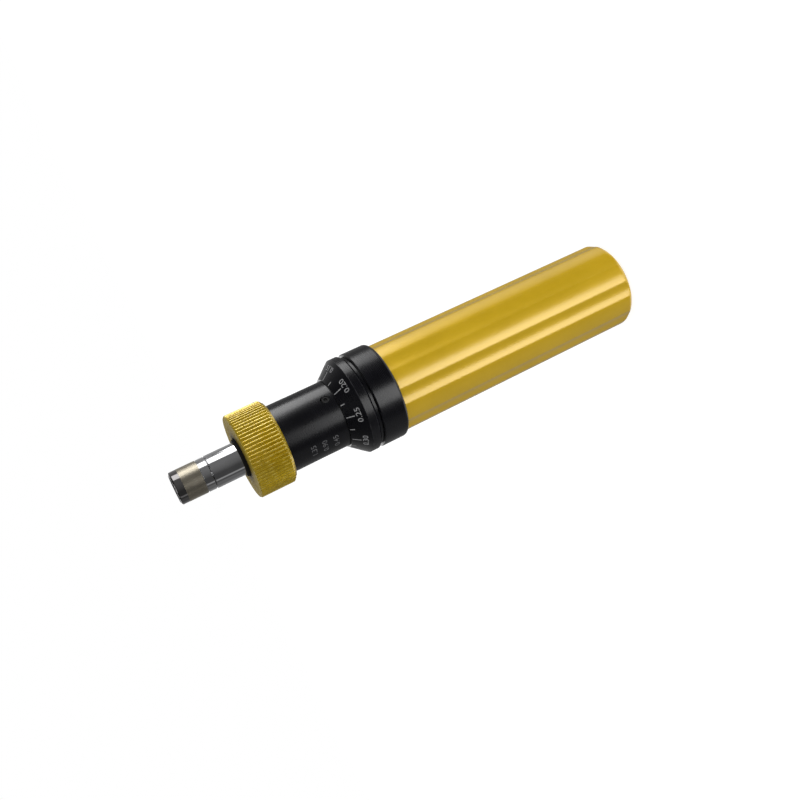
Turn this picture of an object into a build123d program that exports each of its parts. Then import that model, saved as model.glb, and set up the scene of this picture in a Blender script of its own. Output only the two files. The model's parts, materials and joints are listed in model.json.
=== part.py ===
"""Adjustable torque screwdriver, standing on the butt of its grip.

The handle (grip, collar and dial) screws along the barrel and so loads the main spring, which
presses a ring of balls into dimples on the output shaft.  Past the set torque the balls climb out
and the shaft slips; they are drawn as it slips, on the lands between the dimples.  A lock ring at
the nose wedges the barrel in the handle, and a quick-release chuck holds a quarter-inch bit.

Frame: millimetres, origin at the centre of the butt face, +Z along the axis to the tip.  The side
with the visible key screw and scale numbers faces -Y.
"""

import os
from math import cos, pi, radians, sin, tan

from build123d import *

# Fits and clearances
running_fit = 0.05      # radial, between turned pieces that turn or slide in each other
seat_fit = 0.01         # radial, between pieces that are pressed or screwed together
face_gap = 0.05         # axial, between faces that slide past each other
joint_gap = 0.02        # axial, between faces that are clamped together

# Lengths seen from outside, from the butt to the tip
grip_length = 100.6
collar_length = 9.7
dial_groove_width = 1.3
dial_rim_length = 3.6
dial_cone_length = 6.0
barrel_exposed_length = 21.8
lock_ring_length = 13.6
shank_exposed_length = 11.7
chuck_sleeve_length = 12.7

# Grip
grip_shoulder = 1.32
butt_fillet = 3.5
flute_count = 8
flute_depth = 0.6
flute_cutter_radius = 9.0
flute_angle = -108.7
spigot_wall = 1.6
spigot_length = 6.0

# Butt: end plug, calibration screw and its nut
plug_margin = 2.0
plug_thickness = 3.6
plug_recess = 0.3
nut_room = 4.6
nut_across_flats = 17.0
nut_thickness = 3.5
bulkhead_thickness = 9.5
calibration_diameter = 14.0
calibration_stick_out = 2.6
calibration_hex = 6.0
calibration_hex_depth = 5.0
thrust_ball_radius = 2.5
ball_seat_depth = 1.2

# Setting thread: the barrel travels one lead for each turn of the handle
setting_lead = 4.2
setting_turns = 4.0
thread_sleeve_height = 48.0
thread_length = 14.0
thread_sleeve_wall = 1.15
grub_diameter = 3.0
grub_count = 3
grub_recess = 0.2

# Collar and dial
collar_rise = 1.35
collar_fillet = 1.3
collar_lip_length = 3.4
collar_lip_wall = 1.5
edge_break = 0.3
dial_chamfer = 0.7
dial_neck_step = 1.15
dial_edge_wall = 0.56
dial_grub_diameter = 2.0
dial_grub_angles = (60.0, 120.0)

# Barrel: scale sleeve over the clutch housing
barrel_diameter = 24.76
barrel_wall = 1.93
housing_wall = 1.4
collet_length = 20.0
collet_slot_count = 6
collet_slot_width = 1.0
collet_taper_angle = 12.0
collet_taper_length = 5.0
collet_height = 84.0
lock_stroke = 0.4
lock_thread_pitch = 1.5
cone_land_length = 3.5
housing_tail_overlap = 4.0

# Key screws through the barrel wall
key_screw_setback = 3.1
key_screw_angle = -64.0
key_screw_count = 2
key_thread_diameter = 2.5
key_head_diameter = 2.7
key_head_recess = 0.35
key_tip_diameter = 1.6
key_tip_depth = 1.2
key_slot_depth = 0.6

# Main spring and its seats
wire_diameter = 2.6
spring_wall_gap = 0.8
spring_turns = 13
spring_bends = 12
seat_flange_gap = 0.5
seat_flange_length = 4.3
seat_pilot_length = 4.0

# Clutch
clutch_ball_radius = 1.5
clutch_ball_count = 8
clutch_ball_margin = 1.0
dimple_depth = 0.75
clutch_face_gap = 0.4
plunger_length = 15.7
plunger_pilot_length = 4.0
pilot_pin_diameter = 6.0
pilot_pin_length = 6.0
ball_fit = 0.05

# Thrust bearing and nose
flange_thickness = 4.4
flange_gap = 0.2
race_thickness = 0.8
thrust_ball_margin = 0.5
thrust_ball_count = 8
thrust_cage_thickness = 0.7
bush_room = 1.4
nose_step = 0.5
nose_setback = 2.4
nose_shoulder_length = 1.4
seal_thickness = 0.9
nose_clip_thickness = 0.7
nose_clip_height = 0.45
nose_clip_depth = 0.5
nose_clip_gap_angle = 40.0

# Lock ring
lock_ring_rise = 2.92
lock_ring_bevel = 1.1
knurl_count = 72
knurl_depth = 0.45
knurl_crest = 0.12
lock_ring_skirt = 4.0
lock_recess_depth = 3.0

# Output shaft and chuck
shank_diameter = 12.0
chuck_step = 0.13
chuck_rim_fillet = 0.7
chuck_shoulder = 1.4
chuck_nose_setback = 0.7
hex_across_flats = 6.35
hex_depth = 17.0
hex_mouth_chamfer = 0.35
band_groove_height = 3.0
band_groove_depth = 0.15
release_stroke = 2.0
detent_ball_radius = 0.95
detent_ball_height = 4.7
detent_lift = 0.45
rear_land_length = 1.7
detent_recess_depth = 0.5
detent_ramp_slope = 0.3
spring_chamber_height = 6.9
spring_chamber_depth = 0.5
chuck_wire_diameter = 0.3
chuck_spring_turns = 5
chuck_spring_bends = 16
chuck_clip_thickness = 0.6
chuck_clip_height = 0.3
chuck_clip_depth = 0.4
chuck_clip_gap_angle = 50.0

# Stations along the axis
collar_rear = grip_length
collar_front = collar_rear + collar_length
dial_rear = collar_front + dial_groove_width
dial_edge = dial_rear + dial_rim_length
dial_front = dial_edge + dial_cone_length
ring_rear = dial_front + barrel_exposed_length
ring_front = ring_rear + lock_ring_length
shank_front = ring_front + shank_exposed_length
tip = shank_front + chuck_sleeve_length
setting_travel = setting_lead * setting_turns

# Radii that follow from the barrel, the walls and the fits
barrel_radius = barrel_diameter / 2
housing_radius = barrel_radius - barrel_wall - running_fit
bore_radius = housing_radius - housing_wall
shank_radius = shank_diameter / 2
brake_radius = barrel_radius + running_fit
thread_sleeve_radius = brake_radius + thread_sleeve_wall
spigot_radius = thread_sleeve_radius + spigot_wall
grip_radius = spigot_radius + grip_shoulder
collar_radius = grip_radius + collar_rise
plug_radius = grip_radius - butt_fillet - plug_margin
tail_room_radius = housing_radius + 8 * running_fit

# Butt stations
nut_seat = plug_recess + plug_thickness + nut_room
bulkhead_front = nut_seat + bulkhead_thickness
calibration_front = bulkhead_front + calibration_stick_out
thrust_ball_centre = calibration_front + thrust_ball_radius - ball_seat_depth
seat_rear = thrust_ball_centre + thrust_ball_radius - ball_seat_depth
seat_front = seat_rear + seat_flange_length

# Barrel stations
thread_top = thread_sleeve_height + thread_length
housing_tail = thread_sleeve_height - housing_tail_overlap
sleeve_front = ring_rear + lock_ring_skirt
nose_front = ring_front - nose_setback
nose_shoulder = sleeve_front - nose_shoulder_length
taper_rise = collet_taper_length * tan(radians(collet_taper_angle))
taper_gap = lock_stroke + face_gap
key_height = dial_front + key_screw_setback

# Clutch stations, from the thrust shoulder back to the spring
thrust_ball_small_radius = (bore_radius - shank_radius) / 2 - thrust_ball_margin
flange_front = nose_shoulder - 2 * race_thickness - 2 * thrust_ball_small_radius - 4 * joint_gap
flange_rear = flange_front - flange_thickness
clutch_circle_radius = bore_radius - clutch_ball_margin - clutch_ball_radius
clutch_ball_height = flange_rear - clutch_ball_radius - ball_fit
plunger_front = flange_rear - clutch_face_gap - dimple_depth
plunger_rear = plunger_front - plunger_length
spring_radius = bore_radius - spring_wall_gap - wire_diameter / 2
pilot_radius = spring_radius - wire_diameter / 2 - 8 * running_fit

# Lock ring stations
ring_thread_front = ring_front - lock_recess_depth
clip_rear = ring_thread_front + face_gap
nose_radius = housing_radius - nose_step
nose_bore_radius = shank_radius + bush_room
ring_thread_radius = nose_radius + running_fit

# Chuck stations
nose_tip = tip - chuck_nose_setback
chuck_radius = shank_radius - chuck_step
chuck_nose_radius = shank_radius - chuck_shoulder
chuck_bore_radius = chuck_nose_radius + running_fit
detent_height = shank_front + detent_ball_height
detent_radius = chuck_bore_radius - joint_gap - detent_ball_radius
chamber_rear = shank_front + spring_chamber_height
chamber_radius = chuck_bore_radius + spring_chamber_depth
chuck_clip_front = nose_tip - chuck_clip_height
chuck_clip_rear = chuck_clip_front - chuck_clip_thickness
hex_bottom = nose_tip - hex_depth


def disc(radius, low, high):
    """Solid cylinder on the axis between two heights."""
    return Pos(0, 0, low) * Cylinder(radius, high - low, align=(Align.CENTER, Align.CENTER, Align.MIN))


def tube(outer, inner, low, high):
    """Plain ring on the axis."""
    return disc(outer, low, high) - disc(inner, low - 1, high + 1)


def turned(*outline):
    """Solid of revolution from a closed half-section of (radius, height) corners."""
    corners = [(radius, 0, height) for radius, height in outline]
    face = make_face(Polyline(*corners, close=True))
    return revolve(face, Axis.Z)


def around(count, first=0.0):
    """Rotations that spread a feature evenly round the axis."""
    return [Rot(0, 0, first + 360 / count * step) for step in range(count)]


def radial_disc(radius, near, far, height, angle):
    """Cylinder that lies across the axis, from one radius out to another."""
    return Rot(0, 0, angle) * Pos(near, 0, height) * Rot(0, 90, 0) * Cylinder(
        radius, far - near, align=(Align.CENTER, Align.CENTER, Align.MIN)
    )


def edges_at(solid, radius, height):
    """Round edges of a turned solid with the given radius and height."""
    rounds = solid.edges().filter_by(GeomType.CIRCLE)
    near = [edge for edge in rounds if abs(edge.radius - radius) < 1e-3]
    return ShapeList([edge for edge in near if abs(edge.center().Z - height) < 1e-3])


def open_ring(outer, inner, low, high, gap_angle, facing):
    """Spring clip: a flat ring with a gap."""
    half = radians(gap_angle / 2)
    reach = 2 * outer
    gap = make_face(
        Polyline((0, 0), (reach * cos(half), reach * sin(half)), (reach * cos(half), -reach * sin(half)), close=True)
    )
    wedge = Pos(0, 0, low - 1) * Rot(0, 0, facing) * extrude(gap, high - low + 2)
    return tube(outer, inner, low, high) - wedge


def coil(mean_radius, wire, low, high, turns, bends):
    """Round-wire compression spring between two heights, bent in short even steps."""
    steps = turns * bends
    rise = (high - low - wire) / steps
    points = []
    for step in range(steps + 1):
        angle = 2 * pi * step / bends
        points.append((mean_radius * cos(angle), mean_radius * sin(angle), low + wire / 2 + rise * step))
    path = Polyline(*points)
    section = Plane(origin=path @ 0, z_dir=path % 0) * Circle(wire / 2)
    return sweep(section, path=path, transition=Transition.RIGHT)


def make_grip():
    """Handle turned from bar, bored in two steps, with concave flutes along the outside."""
    body = disc(grip_radius, 0, collar_rear) + disc(spigot_radius, collar_rear, collar_rear + spigot_length)
    body = fillet(edges_at(body, grip_radius, 0), butt_fillet)
    body -= disc(thread_sleeve_radius + seat_fit, thread_sleeve_height, collar_rear + spigot_length + 1)
    body -= disc(tail_room_radius, bulkhead_front, thread_sleeve_height + 1)
    body -= disc(calibration_diameter / 2 + seat_fit, nut_seat - 1, bulkhead_front + 1)
    body -= disc(plug_radius + seat_fit, -1, nut_seat)
    cutter = disc(flute_cutter_radius, -1, collar_rear)
    for turn in around(flute_count, flute_angle):
        body -= turn * Pos(grip_radius + flute_cutter_radius - flute_depth, 0, 0) * cutter
    for turn in around(grub_count):
        body -= turn * radial_disc(grub_diameter / 2 + seat_fit, brake_radius, grip_radius, grub_height, 0)
    return body


def make_end_plug():
    """Disc that closes the butt, with a small bevel at its outer face."""
    plug = disc(plug_radius, plug_recess, plug_recess + plug_thickness)
    return chamfer(edges_at(plug, plug_radius, plug_recess), edge_break)


def make_calibration_screw():
    """Set screw with a hexagon socket at its outer end and a ball seat at its inner end."""
    rear = nut_seat - nut_thickness
    screw = disc(calibration_diameter / 2, rear, calibration_front)
    screw = chamfer(edges_at(screw, calibration_diameter / 2, calibration_front), edge_break)
    key = RegularPolygon(calibration_hex / 2, 6, major_radius=False)
    screw -= Pos(0, 0, rear) * extrude(key, calibration_hex_depth)
    return screw - Pos(0, 0, thrust_ball_centre) * Sphere(thrust_ball_radius + ball_fit)


def make_lock_nut():
    """Thin hexagon nut that jams the calibration screw."""
    low = nut_seat - nut_thickness
    nut = Pos(0, 0, low) * extrude(RegularPolygon(nut_across_flats / 2, 6, major_radius=False), nut_thickness - joint_gap)
    return nut - disc(calibration_diameter / 2 + seat_fit, low - 1, nut_seat + 1)


def make_thread_sleeve():
    """Nut for the setting thread, with the long smooth bore that the lock grips."""
    top = collar_rear + spigot_length
    body = disc(thread_sleeve_radius, thread_sleeve_height, top)
    body -= disc(housing_radius + running_fit, thread_sleeve_height - 1, thread_top + 1)
    return body - disc(brake_radius, thread_top, top + 1)


def make_thread_grub_screws():
    """Three set screws that hold the thread sleeve in the spigot."""
    screws = []
    for step in range(grub_count):
        angle = 360 / grub_count * step
        low = thread_sleeve_radius + joint_gap
        high = spigot_radius - grub_recess
        body = radial_disc(grub_diameter / 2, low, high, grub_height, angle)
        socket = radial_disc(grub_diameter / 4, (low + high) / 2, grip_radius, grub_height, angle)
        screws.append(body - socket)
    return Compound(screws)


def make_collar():
    """Ring screwed on the spigot, with an inner lip that centres the dial."""
    lip_rear = collar_front - collar_lip_length
    body = disc(collar_radius, collar_rear + joint_gap, collar_front)
    body = fillet(edges_at(body, collar_radius, collar_rear + joint_gap), collar_fillet)
    body = chamfer(edges_at(body, collar_radius, collar_front), edge_break)
    body -= disc(spigot_radius + seat_fit, collar_rear - 1, lip_rear)
    body -= disc(dial_spigot_radius + seat_fit, lip_rear - 1, collar_front + 1)
    for angle in dial_grub_angles:
        body -= radial_disc(dial_grub_diameter / 2 + seat_fit, brake_radius, 2 * collar_radius, dial_grub_height, angle)
    return body


def make_dial_ring():
    """Graduated cone with a rim, a neck against the collar and a spigot inside its lip."""
    rim_radius = collar_radius
    neck_radius = collar_radius - dial_neck_step
    inner = brake_radius
    return turned(
        (inner, collar_front - collar_lip_length + joint_gap),
        (dial_spigot_radius, collar_front - collar_lip_length + joint_gap),
        (dial_spigot_radius, collar_front + joint_gap),
        (neck_radius, collar_front + joint_gap),
        (neck_radius, dial_rear),
        (rim_radius - dial_chamfer, dial_rear),
        (rim_radius, dial_rear + dial_chamfer),
        (rim_radius, dial_edge),
        (inner + dial_edge_wall, dial_front),
        (inner, dial_front),
    )


def make_dial_grub_screws():
    """Two small set screws in the collar lip that pinch the dial spigot."""
    screws = []
    for angle in dial_grub_angles:
        low = dial_spigot_radius + joint_gap
        high = collar_radius - edge_break
        body = radial_disc(dial_grub_diameter / 2, low, high, dial_grub_height, angle)
        socket = radial_disc(dial_grub_diameter / 4, high - 1, 2 * collar_radius, dial_grub_height, angle)
        screws.append(body - socket)
    return Compound(screws)


def make_thrust_ball():
    """Single ball on which the spring seat turns."""
    return Pos(0, 0, thrust_ball_centre) * Sphere(thrust_ball_radius)


def make_spring_seat():
    """Flanged seat with a pilot inside the main spring."""
    body = disc(bore_radius - seat_flange_gap, seat_rear, seat_front)
    body += disc(pilot_radius, seat_front, seat_front + seat_pilot_length)
    body = chamfer(edges_at(body, pilot_radius, seat_front + seat_pilot_length), edge_break)
    return body - Pos(0, 0, thrust_ball_centre) * Sphere(thrust_ball_radius + ball_fit)


def make_main_spring():
    """Main spring between its seat and the clutch plunger."""
    return coil(spring_radius, wire_diameter, seat_front + joint_gap, plunger_rear - joint_gap, spring_turns, spring_bends)


def make_clutch_housing():
    """Inner tube: setting thread at the tail, lock cone, clutch bore and threaded nose."""
    cone_low = collet_height - taper_gap
    cone_radius = housing_radius + taper_rise
    body = turned(
        (bore_radius, housing_tail),
        (housing_radius - edge_break, housing_tail),
        (housing_radius, housing_tail + edge_break),
        (housing_radius, cone_low - cone_land_length),
        (cone_radius, cone_low - cone_land_length),
        (cone_radius, cone_low),
        (housing_radius, cone_low + collet_taper_length),
        (housing_radius, sleeve_front - 2 * edge_break),
        (nose_radius, sleeve_front - 2 * edge_break),
        (nose_radius, nose_front - edge_break),
        (nose_radius - edge_break, nose_front),
        (nose_bore_radius, nose_front),
        (nose_bore_radius, nose_shoulder),
        (bore_radius, nose_shoulder),
    )
    groove_high = clip_rear + nose_clip_thickness + joint_gap
    body -= tube(nose_radius + 1, nose_radius - nose_clip_depth, clip_rear, groove_high)
    for turn in around(key_screw_count, key_screw_angle):
        body -= turn * radial_disc(key_thread_diameter / 2 + seat_fit, bore_radius - 1, barrel_radius, key_height, 0)
    return body


def make_key_screw(index):
    """Screw through the housing: its head keys the scale sleeve and its tip keys the plunger."""
    angle = key_screw_angle + 360 / key_screw_count * index
    tip_end = bore_radius - key_tip_depth
    head_end = barrel_radius - key_head_recess
    body = radial_disc(key_tip_diameter / 2, tip_end, bore_radius, key_height, angle)
    body += radial_disc(key_thread_diameter / 2, bore_radius, housing_radius, key_height, angle)
    body += radial_disc(key_head_diameter / 2, housing_radius, head_end, key_height, angle)
    drive = RegularPolygon(key_head_diameter / 4, 6, major_radius=False)
    socket = Rot(0, 0, angle) * Pos(head_end - key_slot_depth, 0, key_height) * Rot(0, 90, 0) * extrude(drive, 1)
    return body - socket


def make_front_bush():
    """Plain bearing of the output shaft in the nose."""
    high = nose_front - seal_thickness - joint_gap
    return tube(nose_bore_radius - seat_fit, shank_radius + running_fit, nose_shoulder + joint_gap, high)


def make_dust_seal():
    """Washer that closes the nose round the shaft."""
    low = nose_front - seal_thickness
    return tube(nose_bore_radius - seat_fit, shank_radius + running_fit, low, nose_front)


def make_nose_clip():
    """Spring clip in the nose groove, which stops the lock ring from coming off."""
    low = clip_rear + joint_gap / 2
    inner = nose_radius - nose_clip_depth + seat_fit
    outer = nose_radius + nose_clip_height
    return open_ring(outer, inner, low, low + nose_clip_thickness, nose_clip_gap_angle, 90)


def make_thrust_race_front():
    """Hardened washer against the thrust shoulder."""
    high = nose_shoulder - joint_gap
    return tube(bore_radius - running_fit, shank_radius + 2 * running_fit, high - race_thickness, high)


def make_thrust_race_rear():
    """Hardened washer that turns with the output flange."""
    low = flange_front + joint_gap
    return tube(bore_radius - 3 * running_fit, shank_radius + running_fit, low, low + race_thickness)


def make_thrust_balls():
    """Ring of small balls between the two races."""
    circle = (bore_radius + shank_radius) / 2
    ball = Pos(circle, 0, thrust_ball_height) * Sphere(thrust_ball_small_radius)
    return Compound([turn * ball for turn in around(thrust_ball_count)])


def make_thrust_cage():
    """Flat ring that spaces the small balls."""
    circle = (bore_radius + shank_radius) / 2
    low = thrust_ball_height - thrust_cage_thickness / 2
    cage = tube(bore_radius - 4 * running_fit, shank_radius + 4 * running_fit, low, low + thrust_cage_thickness)
    hole = Pos(circle, 0, 0) * disc(thrust_ball_small_radius + running_fit, low - 1, low + thrust_cage_thickness + 1)
    for turn in around(thrust_ball_count):
        cage -= turn * hole
    return cage


def make_clutch_plunger():
    """Piston that carries the clutch balls and slides on its key screws under the main spring."""
    body = disc(bore_radius - running_fit, plunger_rear, plunger_front)
    body = chamfer(edges_at(body, bore_radius - running_fit, plunger_front), edge_break)
    body += disc(pilot_radius, plunger_rear - plunger_pilot_length, plunger_rear)
    body = chamfer(edges_at(body, pilot_radius, plunger_rear - plunger_pilot_length), edge_break)
    seat = Sphere(clutch_ball_radius + seat_fit) + Cylinder(
        clutch_ball_radius + seat_fit, 2 * clutch_ball_radius, align=(Align.CENTER, Align.CENTER, Align.MIN)
    )
    for turn in around(clutch_ball_count):
        body -= turn * Pos(clutch_circle_radius, 0, clutch_ball_height) * seat
    pin_room = pilot_pin_diameter / 2 + running_fit
    body -= disc(pin_room, plunger_front - pilot_pin_length, plunger_front + 1)
    half_width = key_tip_diameter / 2 + running_fit
    key_top = key_height + half_width + running_fit
    floor = bore_radius - key_tip_depth - 2 * running_fit
    way = Pos(floor, 0, plunger_rear - 1) * Box(
        bore_radius, 2 * half_width, key_top - plunger_rear + 1, align=(Align.MIN, Align.CENTER, Align.MIN)
    )
    for turn in around(key_screw_count, key_screw_angle):
        body -= turn * way
    return body


def make_clutch_balls():
    """Ring of balls that transmit the torque."""
    ball = Pos(clutch_circle_radius, 0, clutch_ball_height) * Sphere(clutch_ball_radius)
    return Compound([turn * ball for turn in around(clutch_ball_count)])


def make_output_shaft():
    """Shaft with the dimpled clutch flange, journal, polished shank and hexagon socket."""
    pin_radius = pilot_pin_diameter / 2
    groove_low = chuck_clip_rear - joint_gap
    groove_high = chuck_clip_front + joint_gap
    body = turned(
        (0, flange_rear - pilot_pin_length),
        (pin_radius - edge_break, flange_rear - pilot_pin_length),
        (pin_radius, flange_rear - pilot_pin_length + edge_break),
        (pin_radius, flange_rear),
        (bore_radius - flange_gap, flange_rear),
        (bore_radius - flange_gap, flange_front),
        (shank_radius, flange_front),
        (shank_radius, shank_front - edge_break),
        (shank_radius - edge_break, shank_front),
        (chuck_nose_radius, shank_front),
        (chuck_nose_radius, groove_low),
        (chuck_nose_radius - chuck_clip_depth, groove_low),
        (chuck_nose_radius - chuck_clip_depth, groove_high),
        (chuck_nose_radius, groove_high),
        (chuck_nose_radius, nose_tip),
        (0, nose_tip),
    )
    dimple = Pos(clutch_circle_radius, 0, clutch_ball_height + dimple_depth) * Sphere(clutch_ball_radius + ball_fit)
    for turn in around(clutch_ball_count, 180 / clutch_ball_count):
        body -= turn * dimple
    hexagon = RegularPolygon(hex_across_flats / 2, 6, major_radius=False)
    body -= Pos(0, 0, hex_bottom) * extrude(hexagon, hex_depth + 1)
    mouth = hex_across_flats / 2 / cos(pi / 6) + hex_mouth_chamfer
    body -= Pos(0, 0, nose_tip - mouth) * Cone(0, mouth, mouth, align=(Align.CENTER, Align.CENTER, Align.MIN))
    seat_radius = detent_ball_radius + running_fit
    body -= Pos(0, detent_radius, detent_height) * Sphere(seat_radius)
    return body - radial_disc(seat_radius, detent_radius, 2 * chuck_nose_radius, detent_height, 90)


def make_chuck_sleeve():
    """Release sleeve: rear land, recess with its ramp, ball land and spring chamber inside."""
    outer = chuck_radius
    low = shank_front + face_gap
    recess_radius = chuck_bore_radius + detent_recess_depth
    land_low = detent_height + detent_ball_radius / 4
    ramp_low = land_low - detent_recess_depth / detent_ramp_slope
    body = turned(
        (chuck_bore_radius, low),
        (outer, low),
        (outer, tip),
        (chamber_radius, tip),
        (chamber_radius, chamber_rear),
        (chuck_bore_radius, chamber_rear),
        (chuck_bore_radius, land_low),
        (recess_radius, ramp_low),
        (recess_radius, low + rear_land_length),
        (chuck_bore_radius, low + rear_land_length),
    )
    body = fillet(edges_at(body, outer, tip), chuck_rim_fillet)
    body = chamfer(edges_at(body, outer, low), edge_break / 2)
    groove = shank_front + band_groove_height
    half = band_groove_depth
    ring = turned((outer - half, groove), (outer + half, groove - 2 * half), (outer + half, groove + 2 * half))
    return body - ring


def make_chuck_spring():
    """Light spring that pushes the chuck sleeve back to the shank."""
    mean = (chuck_nose_radius + chamber_radius) / 2
    rear = chamber_rear + joint_gap
    front = chuck_clip_rear - joint_gap
    return coil(mean, chuck_wire_diameter, rear, front, chuck_spring_turns, chuck_spring_bends)


def make_chuck_clip():
    """Spring clip near the mouth, which the chuck spring bears on."""
    inner = chuck_nose_radius - chuck_clip_depth + seat_fit
    outer = chamber_radius - 2 * running_fit
    return open_ring(outer, inner, chuck_clip_rear, chuck_clip_front, chuck_clip_gap_angle, 90)


def make_detent_ball():
    """Ball that snaps into the groove of a bit."""
    return Pos(0, detent_radius, detent_height) * Sphere(detent_ball_radius)


def make_scale_sleeve():
    """Barrel with the scale, whose slotted and tapered tail is the brake collet."""
    taper_high = collet_height + collet_taper_length
    body = turned(
        (housing_radius + running_fit + taper_rise, collet_height),
        (barrel_radius - edge_break, collet_height),
        (barrel_radius, collet_height + edge_break),
        (barrel_radius, sleeve_front - face_gap),
        (housing_radius + running_fit, sleeve_front - face_gap),
        (housing_radius + running_fit, taper_high),
    )
    slot = Pos(housing_radius - 1, 0, collet_height - 1) * Box(
        barrel_radius, collet_slot_width, collet_length + 1, align=(Align.MIN, Align.CENTER, Align.MIN)
    )
    for turn in around(collet_slot_count):
        body -= turn * slot
    head_room = key_head_diameter / 2 + running_fit
    for turn in around(key_screw_count, key_screw_angle):
        for height in (key_height, key_height + taper_gap):
            body -= turn * radial_disc(head_room, bore_radius, 2 * barrel_radius, height, 0)
    return body


def make_lock_ring():
    """Knurled ring that screws on the nose and pushes the scale sleeve on to the cone."""
    outer = barrel_radius + lock_ring_rise
    corners = []
    for step in range(knurl_count):
        for radius, offset in ((outer + knurl_crest, 0.0), (outer - knurl_depth, 0.5)):
            angle = 2 * pi * (step + offset) / knurl_count
            corners.append((radius * cos(angle), radius * sin(angle)))
    star = Pos(0, 0, ring_rear) * extrude(make_face(Polyline(*corners, close=True)), lock_ring_length)
    blank = turned(
        (0, ring_rear),
        (outer - lock_ring_bevel, ring_rear),
        (outer, ring_rear + lock_ring_bevel),
        (outer, ring_front - lock_ring_bevel),
        (outer - lock_ring_bevel, ring_front),
        (0, ring_front),
    )
    body = star & blank
    body -= disc(barrel_radius + 3 * running_fit, ring_rear - 1, sleeve_front)
    body -= disc(ring_thread_radius, sleeve_front - 1, ring_front + 1)
    return body - disc(nose_radius + nose_clip_height + 3 * running_fit, ring_thread_front, ring_front + 1)


grub_height = collar_rear + spigot_length / 2
dial_spigot_radius = brake_radius + collar_lip_wall
dial_grub_height = collar_front - collar_lip_length / 2
thrust_ball_height = flange_front + 2 * joint_gap + race_thickness + thrust_ball_small_radius

parts = {
    "grip": make_grip,
    "end_plug": make_end_plug,
    "calibration_screw": make_calibration_screw,
    "lock_nut": make_lock_nut,
    "thread_sleeve": make_thread_sleeve,
    "thread_grub_screws": make_thread_grub_screws,
    "collar": make_collar,
    "dial_ring": make_dial_ring,
    "dial_grub_screws": make_dial_grub_screws,
    "thrust_ball": make_thrust_ball,
    "spring_seat": make_spring_seat,
    "main_spring": make_main_spring,
    "clutch_housing": make_clutch_housing,
    "key_screw_1": lambda: make_key_screw(0),
    "key_screw_2": lambda: make_key_screw(1),
    "front_bush": make_front_bush,
    "dust_seal": make_dust_seal,
    "nose_clip": make_nose_clip,
    "thrust_race_front": make_thrust_race_front,
    "thrust_race_rear": make_thrust_race_rear,
    "thrust_balls": make_thrust_balls,
    "thrust_cage": make_thrust_cage,
    "clutch_plunger": make_clutch_plunger,
    "clutch_balls": make_clutch_balls,
    "output_shaft": make_output_shaft,
    "chuck_sleeve": make_chuck_sleeve,
    "chuck_spring": make_chuck_spring,
    "chuck_clip": make_chuck_clip,
    "detent_ball": make_detent_ball,
    "scale_sleeve": make_scale_sleeve,
    "lock_ring": make_lock_ring,
}

os.makedirs("parts", exist_ok=True)
for name, make in parts.items():
    export_step(make(), f"parts/{name}.step")
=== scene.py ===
# %% [markdown]
# # Adjustable torque screwdriver
#
# The tool is a gold anodised aluminium grip that screws along a black barrel and so sets the load
# of a spring inside.  A black dial with white numbers shows the setting, a knurled gold ring locks
# it, and a chrome quick-release chuck forms the tip.  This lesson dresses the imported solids: it
# lights them as a product photograph, writes the finishes as nodes, and works out the outer pieces
# with numpy.

# %% Load the solids
import json
from math import cos, pi, radians, sin

import bmesh
import bpy
import numpy as np
from mathutils import Matrix, Vector


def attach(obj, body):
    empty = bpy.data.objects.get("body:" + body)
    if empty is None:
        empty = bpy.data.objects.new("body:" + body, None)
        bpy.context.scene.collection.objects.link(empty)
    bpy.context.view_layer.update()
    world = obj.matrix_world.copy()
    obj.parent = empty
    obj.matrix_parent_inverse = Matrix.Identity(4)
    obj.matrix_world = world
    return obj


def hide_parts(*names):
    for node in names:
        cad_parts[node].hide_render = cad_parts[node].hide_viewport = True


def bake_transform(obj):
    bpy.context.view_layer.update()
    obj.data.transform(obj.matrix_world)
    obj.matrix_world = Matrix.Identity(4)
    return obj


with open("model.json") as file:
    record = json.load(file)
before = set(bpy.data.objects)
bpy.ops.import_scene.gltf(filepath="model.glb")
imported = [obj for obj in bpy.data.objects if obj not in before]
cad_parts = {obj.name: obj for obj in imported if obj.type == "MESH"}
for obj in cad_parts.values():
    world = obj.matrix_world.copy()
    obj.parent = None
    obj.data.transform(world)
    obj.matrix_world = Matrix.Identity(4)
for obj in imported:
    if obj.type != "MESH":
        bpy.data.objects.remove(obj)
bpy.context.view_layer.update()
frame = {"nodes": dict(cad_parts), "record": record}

MM = 0.001
scene = bpy.context.scene
scene.view_settings.view_transform = "Standard"

# %% [markdown]
# ## Camera
# The photograph was taken from close by, a little above the tip, with the tool lying across the
# picture.  Here the tool stands on its butt, so the camera is rolled instead: it looks along +Y and
# slightly down, and its roll puts the tip at the lower left and the butt at the upper right.  The
# focal length comes from the perspective of the rings along the barrel.

# %% Place the camera
picture_width = 800
focal_pixels = 882.5
camera_place = Vector((-5.82, -302.60, 193.18)) * MM
camera_dip = radians(17.63)
camera_roll = radians(115.78)

look = Vector((0, cos(camera_dip), -sin(camera_dip)))
level = Vector((1, 0, 0))
upright = level.cross(look)
up = upright * cos(camera_roll) + level * sin(camera_roll)
right = look.cross(up)
turn = Matrix((right, up, -look)).transposed().to_4x4()

camera_data = bpy.data.cameras.new("photo_camera")
camera_data.sensor_width = 36.0
camera_data.lens = camera_data.sensor_width * focal_pixels / picture_width
camera_data.clip_start = 0.01
camera_data.clip_end = 20.0
camera = bpy.data.objects.new("photo_camera", camera_data)
scene.collection.objects.link(camera)
camera.matrix_world = Matrix.Translation(camera_place) @ turn
scene.camera = camera
print("camera lens:", round(camera_data.lens, 2), "mm")

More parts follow.
